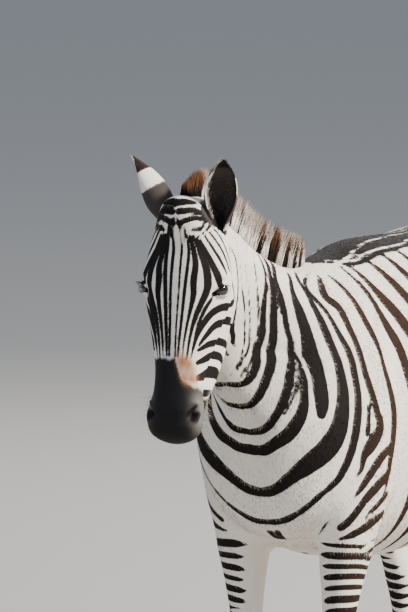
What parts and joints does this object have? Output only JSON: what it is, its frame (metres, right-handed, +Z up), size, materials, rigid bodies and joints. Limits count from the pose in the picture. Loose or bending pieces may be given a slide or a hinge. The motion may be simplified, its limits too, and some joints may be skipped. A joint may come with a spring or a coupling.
{
  "type": "zebra",
  "caption": "Life-size standing plains zebra with striped coat, upright mane, turned ears and tufted tail, one hind leg forward; a still museum-style model",
  "frame": {"origin": "centre of the bounding box on the floor, z = 0 under the four soles", "axes": "+Z up, -Y the way the animal faces, +X its left side"},
  "size_m": [0.5428, 1.8041, 1.5893],
  "materials": {
    "coat": "short hair, white with black and brown stripes",
    "long_hair": "coarse upright hair, banded, brown tips",
    "eye": "wet gloss",
    "hoof_horn": "dull horn"
  },
  "bodies": {
    "root": {"trunk": "coat", "neck": "coat", "head": "coat", "ear_left": "coat", "ear_right": "coat", "tail": "coat", "foreleg_left_upper": "coat", "foreleg_left_lower": "coat", "foreleg_right_upper": "coat", "foreleg_right_lower": "coat", "hindleg_left_upper": "coat", "hindleg_left_lower": "coat", "hindleg_right_upper": "coat", "hindleg_right_lower": "coat", "mane": "long_hair", "tail_tuft": "long_hair", "eye_left": "eye", "eye_right": "eye", "hoof_foreleg_left": "hoof_horn", "hoof_foreleg_right": "hoof_horn", "hoof_hindleg_left": "hoof_horn", "hoof_hindleg_right": "hoof_horn"}
  },
  "joints": []
}
